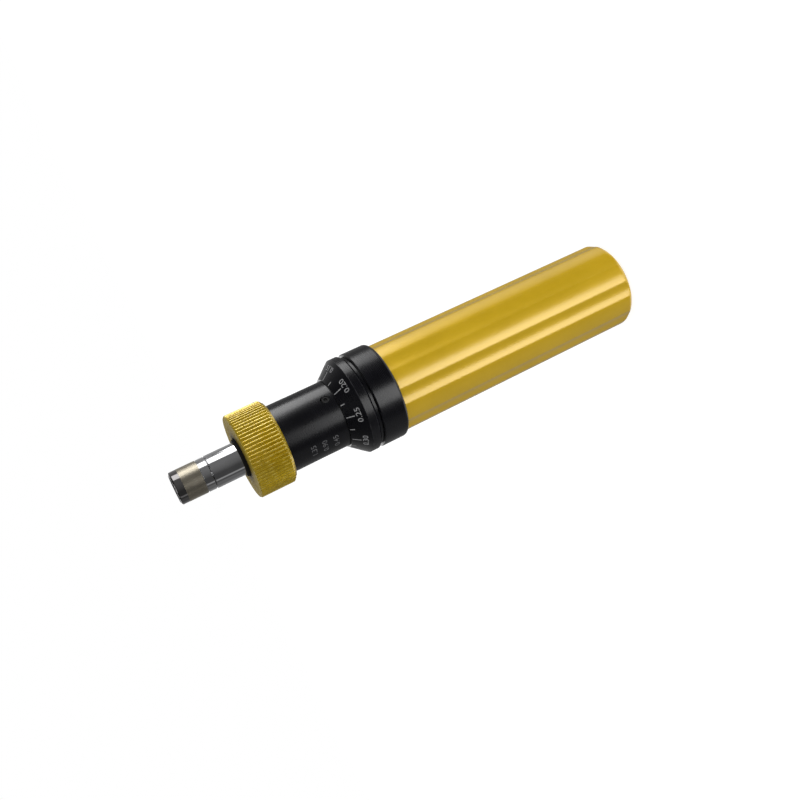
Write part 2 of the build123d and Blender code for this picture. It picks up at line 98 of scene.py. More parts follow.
# %% [markdown]
# ## Nodes in a few words
# Every finish below is a small network of shader nodes.  It could be drawn by hand in the node
# editor, but helpers that name what a few nodes do together keep a script short and readable.  Each
# of them adds its nodes to a tree and gives back the output that the next one takes.

# %% Helpers for nodes
def add_node(tree, kind, values=(), **settings):
    """A node of that kind; values are (socket name or number, constant or socket) pairs."""
    node = tree.nodes.new(kind)
    for key, value in settings.items():
        setattr(node, key, value)
    for socket, value in values:
        target = node.inputs[socket]
        if isinstance(value, bpy.types.NodeSocket):
            tree.links.new(value, target)
        else:
            target.default_value = value
    return node


def maths(tree, operation, *values):
    """One Math node; returns its output."""
    node = add_node(tree, "ShaderNodeMath", list(enumerate(values)), operation=operation)
    return node.outputs[0]


def grey(value):
    """Colour with the same red, green and blue."""
    return (value, value, value, 1.0)


def ramp(tree, factor, *stops):
    """Colour ramp through (place, colour) stops; returns its colour output."""
    node = add_node(tree, "ShaderNodeValToRGB", [(0, factor)])
    elements = node.color_ramp.elements
    while len(elements) < len(stops):
        elements.new(0.5)
    for element, (place, colour) in zip(elements, stops):
        element.position = place
        element.color = (*colour, 1.0) if isinstance(colour, tuple) else grey(colour)
    return node.outputs[0]


print("helpers: add_node, maths, grey, ramp")

# %% [markdown]
# ## Floor, backdrop and lamps
# A product photograph like this one has a white background, soft lamps at the side and near the
# camera, and dark cards that give polished metal its contrast.  A picture of a studio could light
# the tool too, but lamps and cards can be moved one at a time until each reflection lies where the
# photograph has it.  The world is white where the camera or a reflection sees it.  The floor is
# white to the camera and still keeps a soft shadow.  Only reflections see the cards.

# %% White floor that keeps its shadow
def seen_directly(tree):
    """1 for a ray from the camera, from a shiny surface or through a clear one, otherwise 0."""
    path = tree.nodes.new("ShaderNodeLightPath").outputs
    direct = maths(tree, "MAXIMUM", path["Is Camera Ray"], path["Is Glossy Ray"])
    return maths(tree, "MAXIMUM", direct, path["Is Transmission Ray"])


def empty_tree(owner):
    """The node tree of a material or a world, with nothing in it."""
    owner.use_nodes = True
    owner.node_tree.nodes.clear()
    return owner.node_tree


def output_by_ray(tree, kind, lit, seen):
    """Output with the first shader for rays that carry light and the second for seeing rays."""
    choices = [(0, seen_directly(tree)), (1, lit.outputs[0]), (2, seen.outputs[0])]
    mixed = add_node(tree, "ShaderNodeMixShader", choices)
    add_node(tree, kind, [("Surface", mixed.outputs[0])])


floor_size, floor_drop = 4.0, 0.3 * MM
floor_matt, floor_faint, floor_glow = 0.80, 0.30, 0.86
corners = np.array([[-1, -1, 0], [1, -1, 0], [1, 1, 0], [-1, 1, 0]]) * floor_size / 2
corners[:, 2] = -floor_drop
floor_mesh = bpy.data.meshes.new("floor")
floor_mesh.from_pydata(corners.tolist(), [], [[0, 1, 2, 3]])
floor = bpy.data.objects.new("floor", floor_mesh)
scene.collection.objects.link(floor)

floor_white = bpy.data.materials.new("floor_white")
tree = empty_tree(floor_white)
matt = add_node(tree, "ShaderNodeBsdfDiffuse", [("Color", grey(floor_matt))])
faint = add_node(tree, "ShaderNodeBsdfDiffuse", [("Color", grey(floor_faint))])
glow = add_node(tree, "ShaderNodeEmission", [("Color", grey(floor_glow)), ("Strength", 1.0)])
seen = add_node(tree, "ShaderNodeAddShader", [(0, faint.outputs[0]), (1, glow.outputs[0])])
output_by_ray(tree, "ShaderNodeOutputMaterial", matt, seen)
floor_mesh.materials.append(floor_white)
floor.visible_glossy = False
floor.visible_shadow = False
print("floor:", floor_size, "m wide")

# %% White world
room_light = 0.70
world = bpy.data.worlds.new("studio")
scene.world = world
tree = empty_tree(world)
white = add_node(tree, "ShaderNodeBackground", [("Color", grey(1.0)), ("Strength", 1.0)])
room = add_node(tree, "ShaderNodeBackground", [("Color", grey(1.0)), ("Strength", room_light)])
output_by_ray(tree, "ShaderNodeOutputWorld", room, white)
print("world light:", room_light)

# %% Wall of cards round the tool
card_radius, card_steps = 0.9, 96
card_low, card_high = -0.9, 3.0
angle = np.linspace(0, 2 * pi, card_steps, endpoint=False)
ring = np.stack([np.cos(angle), np.sin(angle)], 1) * card_radius
low = np.column_stack([ring, np.full(card_steps, card_low)])
high = np.column_stack([ring, np.full(card_steps, card_high)])
index = np.arange(card_steps)
after = np.roll(index, -1)
faces = np.stack([index, index + card_steps, after + card_steps, after], 1)
card_mesh = bpy.data.meshes.new("cards")
card_mesh.from_pydata(np.concatenate([low, high]).tolist(), [], faces.tolist())
cards = bpy.data.objects.new("cards", card_mesh)
scene.collection.objects.link(cards)
cards.visible_camera = False
cards.visible_diffuse = False
cards.visible_shadow = False
cards.visible_transmission = False
print("cards:", len(card_mesh.polygons))

# %% Helpers for places and mixes
def object_point(tree):
    """Object coordinates of the shaded point, so that a pattern stays with its piece."""
    return tree.nodes.new("ShaderNodeTexCoord").outputs["Object"]


def object_parts(tree):
    """The three parts X, Y and Z of the object coordinates."""
    return add_node(tree, "ShaderNodeSeparateXYZ", [(0, object_point(tree))]).outputs


def between(tree, value, low, high):
    """0 below low, 1 above high, and a straight rise from one to the other."""
    values = [("Value", value), ("From Min", low), ("From Max", high)]
    return add_node(tree, "ShaderNodeMapRange", values).outputs["Result"]


def mixed_colour(tree, factor, first, second):
    """Mix of two colours; in a Mix node for colours, sockets 6 and 7 hold them."""
    values = [("Factor", factor), (6, first), (7, second)]
    return add_node(tree, "ShaderNodeMix", values, data_type="RGBA").outputs[2]


print("helpers: object_point, object_parts, between, mixed_colour")

# %% Tones of the cards
# The tip mirrors the cards above tip_high, the grip those below tip_low, and the cone of the dial
# those far up, which are dim.
tip_low, tip_high = -0.01, 0.04
dim_low, dim_high, dim_tone = 0.4, 1.2, 0.03
tip_stops = (
    (-150, 0.36), (-115, 0.15), (-95, 0.17), (-82, 0.08), (-77, 0.12), (-72, 0.42), (-69, 0.42),
    (-62, 0.07), (-30, 0.07), (-5, 0.15), (24, 0.20), (45, 0.20), (105, 0.26), (150, 0.45),
)
body_stops = (
    (-150, 0.24), (-115, 0.18), (-80, 0.20), (-60, 0.04),
    (0, 0.02), (60, 0.02), (115, 0.10), (150, 0.24),
)


def round_ramp(tree, share, stops):
    """Ramp through (azimuth, tone) stops; an azimuth counts from -Y, in degrees towards +X."""
    return ramp(tree, share, *((azimuth / 360 + 0.5, tone) for azimuth, tone in stops))


card_grey = bpy.data.materials.new("card_grey")
tree = empty_tree(card_grey)
parts = object_parts(tree)
side = maths(tree, "ARCTAN2", parts["X"], maths(tree, "MULTIPLY", parts["Y"], -1.0))
share = maths(tree, "MULTIPLY_ADD", side, 1 / (2 * pi), 0.5)
tip_tone = round_ramp(tree, share, tip_stops)
body_tone = round_ramp(tree, share, body_stops)
tone = mixed_colour(tree, between(tree, parts["Z"], tip_low, tip_high), body_tone, tip_tone)
tone = mixed_colour(tree, between(tree, parts["Z"], dim_low, dim_high), tone, grey(dim_tone))
shine = add_node(tree, "ShaderNodeEmission", [("Color", tone), ("Strength", 1.0)])
add_node(tree, "ShaderNodeOutputMaterial", [("Surface", shine.outputs[0])])
card_mesh.materials.append(card_grey)
print("stops round the tool:", len(tip_stops), "and", len(body_stops))

# %% Lamps
def add_lamp(name, azimuth, distance, height, width, tall, watts):
    """Area lamp that faces the axis, at an azimuth counted from -Y towards +X, sizes in metres."""
    data = bpy.data.lights.new(name, "AREA")
    data.shape = "RECTANGLE"
    data.size, data.size_y = width, tall
    data.energy = watts
    lamp = bpy.data.objects.new(name, data)
    scene.collection.objects.link(lamp)
    outward = Vector((sin(radians(azimuth)), -cos(radians(azimuth)), 0))
    lamp.location = outward * distance + Vector((0, 0, height))
    lamp.rotation_mode = "QUATERNION"
    lamp.rotation_quaternion = (outward * distance).to_track_quat("Z", "Y")
    lamp.visible_camera = False


# name, azimuth, distance, height, width, height of the lamp itself, watts
lamps = (
    ("side_softbox_tip", 73, 0.55, 0.20, 0.38, 0.24, 0.58),
    ("side_softbox_barrel", 90, 0.55, 0.01, 0.34, 0.14, 0.55),
    ("side_softbox_grip", 100, 0.55, -0.26, 0.32, 0.40, 0.24),
    ("front_softbox", -15, 0.60, -0.25, 0.38, 0.44, 1.85),
    ("side_softbox_ring", 85, 0.55, 0.07, 0.46, 0.06, 0.33),
    ("back_softbox", 180, 0.70, 0.10, 0.30, 0.80, 1.2),
)
for lamp in lamps:
    add_lamp(*lamp)
print("lamps:", len(lamps))

# %% [markdown]
# ## Surfaces of revolution
# Nearly every piece of this tool is turned on a lathe, so it is an outline carried round the axis.
# A Screw modifier could do that.  A grid of points worked out with numpy is used instead, because
# it also keeps for each point whether it lies on an edge, which the worn finish needs.  The outline
# is given as corners with a rounding each: real turned edges are never knife sharp, and their small
# arcs catch the light.  Outlines are in millimetres, and neighbours in the grid make the faces.

# %% Outline with rounded corners
flat_pad = 0.4


def rounded(corners, steps=4):
    """Closed outline through (radius, height, rounding) corners, as (points, edge share).

    At each corner an arc touches both sides.  With the half angle h between the sides, it starts
    rounding / tan(h) from the corner, and its centre lies rounding / sin(h) away on the bisector.
    A further point on each side keeps the flat faces next to the arc flat in shading.
    """
    corners = np.array(corners, float)
    points, edges = [], []
    for before, here, after in zip(np.roll(corners, 1, 0), corners, np.roll(corners, -1, 0)):
        spot, size = here[:2], here[2]
        back = (before[:2] - spot) / np.linalg.norm(before[:2] - spot)
        on = (after[:2] - spot) / np.linalg.norm(after[:2] - spot)
        half = np.arccos(np.clip(back @ on, -1, 1)) / 2
        reach = size / np.tan(half)
        centre = spot + (back + on) / np.linalg.norm(back + on) * size / np.sin(half)
        first, last = spot + back * reach - centre, spot + on * reach - centre
        sweep = pi - 2 * half
        t = np.linspace(0, 1, steps + 1)[:, None]
        arc = centre + (np.sin((1 - t) * sweep) * first + np.sin(t * sweep) * last) / np.sin(sweep)
        pad = reach + flat_pad * size
        points += [spot + back * pad, *arc, spot + on * pad]
        edges += [0.0, *[1.0] * (steps + 1), 0.0]
    return np.array(points), np.array(edges)


print("helper: rounded")

# %% Grid of points to mesh
def volume_of(points, faces):
    """Signed volume of a closed mesh of quads: the sum over its triangles of a . (b x c) / 6."""
    a, b, c, d = (points[faces[:, k]] for k in range(4))
    halves = np.einsum("ij,ij->", a, np.cross(b, c)), np.einsum("ij,ij->", a, np.cross(c, d))
    return sum(halves) / 6


def mesh_from(name, points, faces, attributes):
    """Smooth mesh from arrays in millimetres, with one float attribute per named array."""
    if volume_of(points, faces) < 0:
        faces = faces[:, ::-1]
    mesh = bpy.data.meshes.new(name)
    mesh.vertices.add(len(points))
    mesh.vertices.foreach_set("co", (points * MM).ravel())
    mesh.loops.add(faces.size)
    mesh.loops.foreach_set("vertex_index", faces.ravel())
    mesh.polygons.add(len(faces))
    mesh.polygons.foreach_set("loop_start", np.arange(0, faces.size, faces.shape[1]))
    mesh.polygons.foreach_set("loop_total", np.full(len(faces), faces.shape[1]))
    mesh.polygons.foreach_set("use_smooth", np.ones(len(faces), bool))
    for key, values in attributes.items():
        layer = mesh.attributes.new(key, "FLOAT", "POINT")
        layer.data.foreach_set("value", np.asarray(values, np.float32).ravel())
    mesh.update()
    mesh.validate()
    return mesh


def turned_grid(outline, edge, columns):
    """Radius, height, angle and edge share of an outline carried round: points x columns each."""
    angle = np.linspace(0, 2 * pi, columns, endpoint=False)[None, :]
    return np.broadcast_arrays(outline[:, :1], outline[:, 1:], angle, edge[:, None])


def ring_grid(points, **attributes):
    """Faces of a grid (outline points x angles x 3) that closes both ways, ready for mesh_from."""
    rows, columns = points.shape[:2]
    index = np.arange(rows * columns).reshape(rows, columns)
    next_row, next_column = np.roll(index, -1, 0), np.roll(index, -1, 1)
    both = np.roll(next_row, -1, 1)
    faces = np.stack([index, next_column, both, next_row], -1).reshape(-1, 4)
    return points.reshape(-1, 3), faces, attributes


def around_axis(radius, height, angle):
    """Points (radius cos angle, radius sin angle, height) for arrays of one shape."""
    return np.stack([radius * np.cos(angle), radius * np.sin(angle), height], -1)


print("helpers: volume_of, mesh_from, turned_grid, ring_grid, around_axis")

# %% Piece made from a mesh
def add_piece(mesh, body, slot, finish, *nodes):
    """Object for a finished mesh: its body, its finish and the nodes it replaces; the slot is not
    used.

    The body is a name; for a spring it is a tuple of two bodies and two points, which are not used:
    the piece is only baked where it stands.
    """
    piece = bpy.data.objects.new(mesh.name, mesh)
    scene.collection.objects.link(piece)
    mesh.materials.clear()
    mesh.materials.append(finish)
    if isinstance(body, tuple):
        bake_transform(piece)
    else:
        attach(piece, body)
    if nodes:
        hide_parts(*nodes)
    print(mesh.name, "faces:", len(mesh.polygons))
    return piece


def even_shading(piece):
    """Weighted normals, so that wide faces stay flat beside their rounded edges."""
    weigh = piece.modifiers.new("even_shading", "WEIGHTED_NORMAL")
    weigh.mode = "FACE_AREA_WITH_ANGLE"
    weigh.keep_sharp = True


def add_turned(name, corners, steps, columns, body, slot, finish, node):
    """Piece from an outline of (radius, height, rounding) corners, carried once round the axis."""
    radius, height, angle, edge = turned_grid(*rounded(corners, steps), columns)
    points, faces, extra = ring_grid(around_axis(radius, height, angle), edge=edge)
    even_shading(add_piece(mesh_from(name, points, faces, extra), body, slot, finish, node))


print("helpers: add_piece, even_shading, add_turned")

# %% [markdown]
# ## Finishes
# The tool has four families of finish.  Anodised aluminium is metal under a dyed, slightly cloudy
# oxide layer: a rough metal with a thin clear coat.  Chrome is nearly a mirror with faint turning
# rings.  The small steel pieces are plain or blackened.  Paint fills the engraved marks.  Scanned
# pictures of metal would need a map for each piece, so every finish is worked out from the place on
# the piece.  What the finishes share is written once, as groups: cloudiness of the surface, rings
# left by the lathe, the fine blasted grain, and wear on edges, which on the knurl's crests is
# partly a painted highlight.

# %% Helpers for groups and patterns
def new_group(name, inputs, outputs):
    """Empty shader node group with named sockets; returns the tree and its two end nodes."""
    tree = bpy.data.node_groups.new(name, "ShaderNodeTree")
    for socket, kind, value in inputs:
        item = tree.interface.new_socket(socket, in_out="INPUT", socket_type=kind)
        if value is not None:
            item.default_value = value
    for socket, kind in outputs:
        tree.interface.new_socket(socket, in_out="OUTPUT", socket_type=kind)
    return tree, tree.nodes.new("NodeGroupInput"), tree.nodes.new("NodeGroupOutput")


def use_group(tree, group, **values):
    """A group placed in a material; underscores in the keywords stand for spaces."""
    pairs = [(key.replace("_", " "), value) for key, value in values.items()]
    node = tree.nodes.new("ShaderNodeGroup")
    node.node_tree = group
    for socket, value in pairs:
        node.inputs[socket].default_value = value
    return node.outputs[0]


def axis_distance(tree, parts):
    """Distance from the axis of the tool: the length of (x, y, 0)."""
    flat = add_node(tree, "ShaderNodeCombineXYZ", [(0, parts["X"]), (1, parts["Y"])]).outputs[0]
    return add_node(tree, "ShaderNodeVectorMath", [(0, flat)], operation="LENGTH").outputs["Value"]


def patches(tree, size, detail, roughness):
    """Noise in patches about as wide as the size, in metres."""
    scale = maths(tree, "DIVIDE", 1.0, size)
    values = [
        ("Vector", object_point(tree)), ("Scale", scale),
        ("Detail", detail), ("Roughness", roughness),
    ]
    return add_node(tree, "ShaderNodeTexNoise", values).outputs["Fac"]


print("helpers: new_group, use_group, axis_distance, patches")

# %% Shared effects
def make_cloud_group():
    """Soft patches around 0.5, for colour and roughness."""
    tree, given, result = new_group(
        "cloudiness",
        [("Patch Size", "NodeSocketFloat", 0.01), ("Contrast", "NodeSocketFloat", 0.5)],
        [("Value", "NodeSocketFloat")],
    )
    noise = patches(tree, given.outputs["Patch Size"], detail=4.0, roughness=0.6)
    centred = maths(tree, "SUBTRACT", noise, 0.5)
    value = maths(tree, "MULTIPLY_ADD", centred, given.outputs["Contrast"], 0.5)
    tree.links.new(value, result.inputs["Value"])
    return tree


def make_turning_group():
    """Rings left by the lathe: noise that changes with height and radius but not round the axis."""
    tree, given, result = new_group(
        "turning_rings",
        [("Pitch", "NodeSocketFloat", 0.0002)],
        [("Value", "NodeSocketFloat")],
    )
    parts = object_parts(tree)
    along = maths(tree, "ADD", parts["Z"], axis_distance(tree, parts))
    line = maths(tree, "DIVIDE", along, given.outputs["Pitch"])
    noise = add_node(
        tree, "ShaderNodeTexNoise",
        [("W", line), ("Scale", 1.0), ("Detail", 2.0), ("Roughness", 0.5)],
        noise_dimensions="1D",
    )
    tree.links.new(noise.outputs["Fac"], result.inputs["Value"])
    return tree


def make_grain_group():
    """Fine even grain of a bead-blasted surface."""
    tree, given, result = new_group(
        "blasted_grain",
        [("Grain Size", "NodeSocketFloat", 0.0002)],
        [("Value", "NodeSocketFloat")],
    )
    grain = patches(tree, given.outputs["Grain Size"], detail=2.0, roughness=0.7)
    tree.links.new(grain, result.inputs["Value"])
    return tree


def make_wear_group():
    """Edge attribute broken up by patches: wear, partly a painted highlight on knurl crests."""
    tree, given, result = new_group(
        "edge_wear",
        [("Amount", "NodeSocketFloat", 0.5), ("Patch Size", "NodeSocketFloat", 0.002)],
        [("Mask", "NodeSocketFloat")],
    )
    edge = tree.nodes.new("ShaderNodeAttribute")
    edge.attribute_name = "edge"
    noise = patches(tree, given.outputs["Patch Size"], detail=5.0, roughness=0.5)
    broken = ramp(tree, noise, (wear_starts, 0.0), (wear_full, 1.0))
    mask = maths(tree, "MULTIPLY", edge.outputs["Fac"], broken)
    mask = maths(tree, "MULTIPLY", mask, given.outputs["Amount"])
    tree.links.new(mask, result.inputs["Mask"])
    return tree


wear_starts, wear_full = 0.42, 0.62
cloudiness = make_cloud_group()
turning_rings = make_turning_group()
blasted_grain = make_grain_group()
edge_wear = make_wear_group()
print("shared effects:", len(bpy.data.node_groups))

# %% One recipe for metals, rubber and paint
# Every finish has rings left by the lathe, given by their pitch, or a grain, given by its size.
cloud_contrast = 1.6
cloud_dark, cloud_light = 0.2, 0.8
fine_share = 0.6


def new_material(name):
    """Material with a Principled shader; returns it, its tree and the shader's inputs."""
    material = bpy.data.materials.new(name)
    material.use_nodes = True
    tree = material.node_tree
    return material, tree, tree.nodes["Principled BSDF"].inputs


def clouded_colour(tree, patch, dark, light):
    """Colour that runs from dark to light with the cloudiness; returns it and the cloudiness."""
    cloud = use_group(tree, cloudiness, Patch_Size=patch, Contrast=cloud_contrast)
    return ramp(tree, cloud, (cloud_dark, dark), (cloud_light, light)), cloud


def make_finish(name, dark, light, rough, bump, patch, metallic=1.0, pitch=0.0, grain=0.0,
                wear=0.0, worn=(0.8, 0.8, 0.8), coat=0.0, coat_rough=0.1, coat_ior=1.5,
                specular=0.5):
    """Clouded colour, worn on its edges, with rings or grain in its roughness and as bump."""
    material, tree, inputs = new_material(name)
    colour, cloud = clouded_colour(tree, patch, dark, light)
    if wear:
        mask = use_group(tree, edge_wear, Amount=wear)
        colour = mixed_colour(tree, mask, colour, (*worn, 1.0))
    tree.links.new(colour, inputs["Base Color"])
    if pitch:
        fine = use_group(tree, turning_rings, Pitch=pitch)
    else:
        fine = use_group(tree, blasted_grain, Grain_Size=grain)
    low, high = rough
    spread = maths(tree, "MULTIPLY_ADD", cloud, high - low, low)
    centred = maths(tree, "SUBTRACT", fine, 0.5)
    spread = maths(tree, "MULTIPLY_ADD", centred, (high - low) * fine_share, spread)
    tree.links.new(spread, inputs["Roughness"])
    relief = [("Height", fine), ("Strength", 1.0), ("Distance", bump)]
    tree.links.new(add_node(tree, "ShaderNodeBump", relief).outputs["Normal"], inputs["Normal"])
    for socket, value in (
        ("Metallic", metallic), ("Specular IOR Level", specular),
        ("Coat Weight", coat), ("Coat Roughness", coat_rough), ("Coat IOR", coat_ior),
    ):
        inputs[socket].default_value = value
    return material


# %% The finishes
# Each has its dark colour, its light colour and its range of roughness.
gold_satin = make_finish(
    "gold_satin", (0.64, 0.405, 0.002), (0.70, 0.445, 0.005), (0.36, 0.42),
    bump=4e-6, patch=0.02, metallic=0.34, grain=0.00022, wear=0.12, worn=(0.80, 0.58, 0.10),
    coat=1.0, coat_rough=0.24, coat_ior=1.7, specular=0.2,
)
# On the knurl's crests the worn colour is partly wear and partly a painted highlight.
gold_knurled = make_finish(
    "gold_knurled", (0.48, 0.320, 0.001), (0.57, 0.385, 0.003), (0.24, 0.30),
    bump=2e-6, patch=0.006, metallic=0.62, pitch=0.0003, wear=0.5, worn=(0.90, 0.72, 0.16),
    coat=0.8, coat_rough=0.14, coat_ior=1.7, specular=0.2,
)
black_satin = make_finish(
    "black_satin", (0.0010, 0.0010, 0.0024), (0.0022, 0.0022, 0.0044), (0.24, 0.30),
    bump=4e-7, patch=0.012, metallic=0.0, pitch=0.00025, wear=0.35, worn=(0.06, 0.06, 0.066),
    specular=0.55,
)
polished = {
    "dark": (0.58, 0.58, 0.59), "light": (0.66, 0.66, 0.67), "rough": (0.07, 0.11),
    "bump": 6e-7, "patch": 0.006, "pitch": 0.00018,
}
chrome = make_finish("chrome", **polished)
bright_steel = make_finish(
    "bright_steel", (0.42, 0.42, 0.43), (0.55, 0.55, 0.56), (0.20, 0.30),
    bump=1e-6, patch=0.004, pitch=0.0002,
)
black_steel = make_finish(
    "black_steel", (0.020, 0.020, 0.022), (0.035, 0.034, 0.034), (0.32, 0.42),
    bump=2e-6, patch=0.003, metallic=0.6, grain=0.00015,
)
spring_steel = make_finish(
    "spring_steel", (0.16, 0.15, 0.15), (0.26, 0.25, 0.24), (0.26, 0.36),
    bump=2e-6, patch=0.003, grain=0.0002,
)
bronze = make_finish(
    "bronze", (0.42, 0.24, 0.10), (0.52, 0.31, 0.14), (0.28, 0.40),
    bump=2e-6, patch=0.004, pitch=0.0003,
)
rubber = make_finish(
    "rubber", (0.006, 0.006, 0.006), (0.012, 0.011, 0.010), (0.55, 0.70),
    bump=4e-6, patch=0.003, metallic=0.0, grain=0.0002, specular=0.2,
)
paint = {
    "rough": (0.45, 0.60), "bump": 2e-6, "patch": 0.0009, "metallic": 0.0, "grain": 0.0001,
}
mark_white = make_finish("mark_white", (0.16, 0.16, 0.17), (0.34, 0.34, 0.34), **paint)
mark_grey = make_finish("mark_grey", (0.05, 0.05, 0.055), (0.13, 0.13, 0.135), **paint)
print("materials so far:", len(bpy.data.materials))

# %% [markdown]
# ## Grip
# The grip is a gold anodised aluminium tube with a rounded butt.  Eight shallow hollows run along
# it, milled with a round cutter, so that a wet hand doesn't slip.  Eight Boolean cuts would leave
# long thin faces that spoil its reflections.  Its radius at an angle is worked out instead: it is
# the smaller of the turned outline and the cutter's arc, with the corner between them broken.

# %% Sizes of the grip and its flutes
def softer_min(a, b, width):
    """Smaller of two arrays, with the corner between them rounded over about the given width."""
    low = np.minimum(a, b)
    return low - width * np.log1p(np.exp(-np.abs(a - b) / width))


flute_count, flute_first = 8, -109.2
flute_depth, cutter_radius = 0.6, 11.0
grip_radius, grip_length, butt_rounding = 16.5, 100.6, 2.0
spigot_radius, spigot_end = 15.18, 106.6
plug_bore, plug_floor = 11.01, 8.5
screw_bore, bulkhead_front = 7.01, 18
spring_bore, sleeve_bore, sleeve_floor = 10.8, 13.59, 48
grip_columns = 720
corner_break, worn_width = 0.14, 0.12
clear_of_grip = 5


def flute_radius(angle):
    """Distance from the axis to the nearest cutter's arc: c cos(a) - sqrt(R^2 - c^2 sin^2(a))."""
    centre = grip_radius + cutter_radius - flute_depth
    step = 2 * pi / flute_count
    off = (angle - radians(flute_first) + step / 2) % step - step / 2
    under = cutter_radius ** 2 - (centre * np.sin(off)) ** 2
    arc = centre * np.cos(off) - np.sqrt(np.maximum(under, 0))
    return np.where(under > 0, arc, grip_radius + clear_of_grip)


print("flutes:", flute_count, "each", flute_depth, "mm deep")

# %% Grip surface
outline, edge = rounded([
    (plug_bore, 0, 0.25), (grip_radius, 0, butt_rounding), (grip_radius, grip_length, 0.2),
    (spigot_radius, grip_length, 0.05), (spigot_radius, spigot_end, 0.2),
    (sleeve_bore, spigot_end, 0.2), (sleeve_bore, sleeve_floor, 0.1),
    (spring_bore, sleeve_floor, 0.1), (spring_bore, bulkhead_front, 0.1),
    (screw_bore, bulkhead_front, 0.1), (screw_bore, plug_floor, 0.1), (plug_bore, plug_floor, 0.1),
], steps=10)
radius, height, angle, edge = turned_grid(outline, edge, grip_columns)
cut = flute_radius(angle)
radius = softer_min(radius, cut, corner_break)
flute_edge = np.exp(-((cut - grip_radius) / worn_width) ** 2)
worn_edge = np.maximum(edge * (height > grip_length / 2), flute_edge)
points, faces, extra = ring_grid(around_axis(radius, height, angle), edge=worn_edge)
grip_mesh = mesh_from("grip_dressed", points, faces, extra)
even_shading(add_piece(grip_mesh, "handle", "gold_anodised", gold_satin, "grip"))

# %% [markdown]
# ## Dial ring
# The dial is a black anodised ring with a rim and a cone towards the barrel.  A copy of its solid
# would do for the shape, but the outline carried round the axis has rounded edges, and these give
# the black ring the thin lights by which it is seen.

# %% Dial ring surface
dial_rim = (17.85, 115.2)
dial_nose = (12.99, 121.2)
dial_bore, dial_spigot, groove_radius, chamfer_radius = 12.43, 13.93, 16.7, 17.15
spigot_rear, groove_rear, groove_front, chamfer_front = 106.92, 110.32, 111.6, 112.3
dial_corners = [
    (dial_bore, spigot_rear, 0.1), (dial_spigot, spigot_rear, 0.1),
    (dial_spigot, groove_rear, 0.1), (groove_radius, groove_rear, 0.1),
    (groove_radius, groove_front, 0.1), (chamfer_radius, groove_front, 0.08),
    (dial_rim[0], chamfer_front, 0.12), (*dial_rim, 0.25), (*dial_nose, 0.12),
    (dial_bore, dial_nose[1], 0.08),
]
add_turned(
    "dial_dressed", dial_corners, steps=4, columns=360, body="handle",
    slot="black_anodised", finish=black_satin, node="dial_ring",
)

# %% [markdown]
# ## Marks and numbers
# The dial is divided into eighteen parts by engraved lines, long and short in turn, and a number
# stands behind each long line.  They are filled with white paint.  A painted picture would blur
# from close by, so the marks are shapes: each line is a small pad that follows the cone, and the
# numbers are text made a mesh, cut fine, and laid on the same cone.

# %% Surfaces that carry marks
barrel_radius = 12.38


def from_front(azimuth):
    """Angle in radians from +X, for an azimuth in degrees from -Y towards +X."""
    return radians(azimuth - 90)


def on_cone(angle, along, above):
    """Point on the dial's cone: angle, distance from its small edge, height above it."""
    rim, nose = np.array(dial_rim), np.array(dial_nose)
    slope = (rim - nose) / np.linalg.norm(rim - nose)
    outward = np.array([-slope[1], slope[0]])
    radius = nose[0] + along * slope[0] + above * outward[0]
    height = nose[1] + along * slope[1] + above * outward[1]
    return around_axis(radius, height, angle)


def on_barrel(angle, along, above):
    """Point on the barrel: angle, distance from the dial's edge towards the butt, height."""
    return around_axis(barrel_radius + above, dial_nose[1] - along, angle)


print("cone:", dial_rim, "to", dial_nose, "barrel radius:", barrel_radius)

# %% A painted line
pad_sink, pad_proud, pad_rows = 0.03, 0.012, 9
pad_side = np.array([-1, -1, -0.8, 0.8, 1, 1, 0])
pad_rise = np.array([
    -pad_sink, pad_proud * 0.5, pad_proud, pad_proud, pad_proud * 0.5, -pad_sink, -pad_sink,
])
cap_faces = ((0, 1, 2, 6), (2, 3, 5, 6), (3, 4, 5))
pad_crease = 40


def pad_grid(lay, angle, start, end, width, radius):
    """Pad of a given width from start to end: rows of seven points round its section."""
    shape = (pad_rows, len(pad_side))
    along = np.broadcast_to(np.linspace(start, end, pad_rows)[:, None], shape)
    across = np.broadcast_to(pad_side[None, :] * width / 2, shape)
    grid = lay(angle + across / radius, along, np.broadcast_to(pad_rise[None, :], shape))
    index = np.arange(pad_rows * len(pad_side)).reshape(shape)
    beside = np.roll(index, -1, 1)
    walls = np.stack([index[:-1], beside[:-1], beside[1:], index[1:]], -1).reshape(-1, 4)
    caps = [index[0][list(cap)].tolist() for cap in cap_faces]
    caps += [index[-1][list(cap)][::-1].tolist() for cap in cap_faces]
    return grid.reshape(-1, 3), walls.tolist() + caps


def closed_pads(name, pads):
    """One mesh from several painted lines, with normals turned outwards."""
    work = bmesh.new()
    for points, faces in pads:
        verts = [work.verts.new(point * MM) for point in points]
        for face in faces:
            work.faces.new([verts[k] for k in face])
    bmesh.ops.recalc_face_normals(work, faces=work.faces)
    mesh = bpy.data.meshes.new(name)
    work.to_mesh(mesh)
    work.free()
    mesh.shade_smooth()
    mesh.set_sharp_from_angle(angle=radians(pad_crease))
    return mesh


print("points in a painted line:", pad_rows * len(pad_side))

# %% Lines on the dial
mark_first, mark_step, mark_count = 4.65, 20.0, 18
mark_start, long_mark, short_mark, mark_width = 0.25, 3.5, 1.9, 0.34
mark_radius = 14.0
pads = []
for step in range(mark_count):
    around = from_front(mark_first + mark_step * step)
    length = long_mark if step % 2 else short_mark
    pads.append(pad_grid(on_cone, around, mark_start, length, mark_width, mark_radius))
add_piece(closed_pads("dial_lines", pads), "handle", "black_anodised", mark_white)

# %% Numbers laid on a surface
# The font's figures are 0.69 of its size tall, and each stroke is made a little bolder.
figure_height, text_depth, bolder, curve_steps = 0.69, 0.02, 0.004, 3
longest_edge, rounds_of_cuts = 0.33, 4
text_proud, text_sink, join_within = 0.014, 0.03, 1e-5


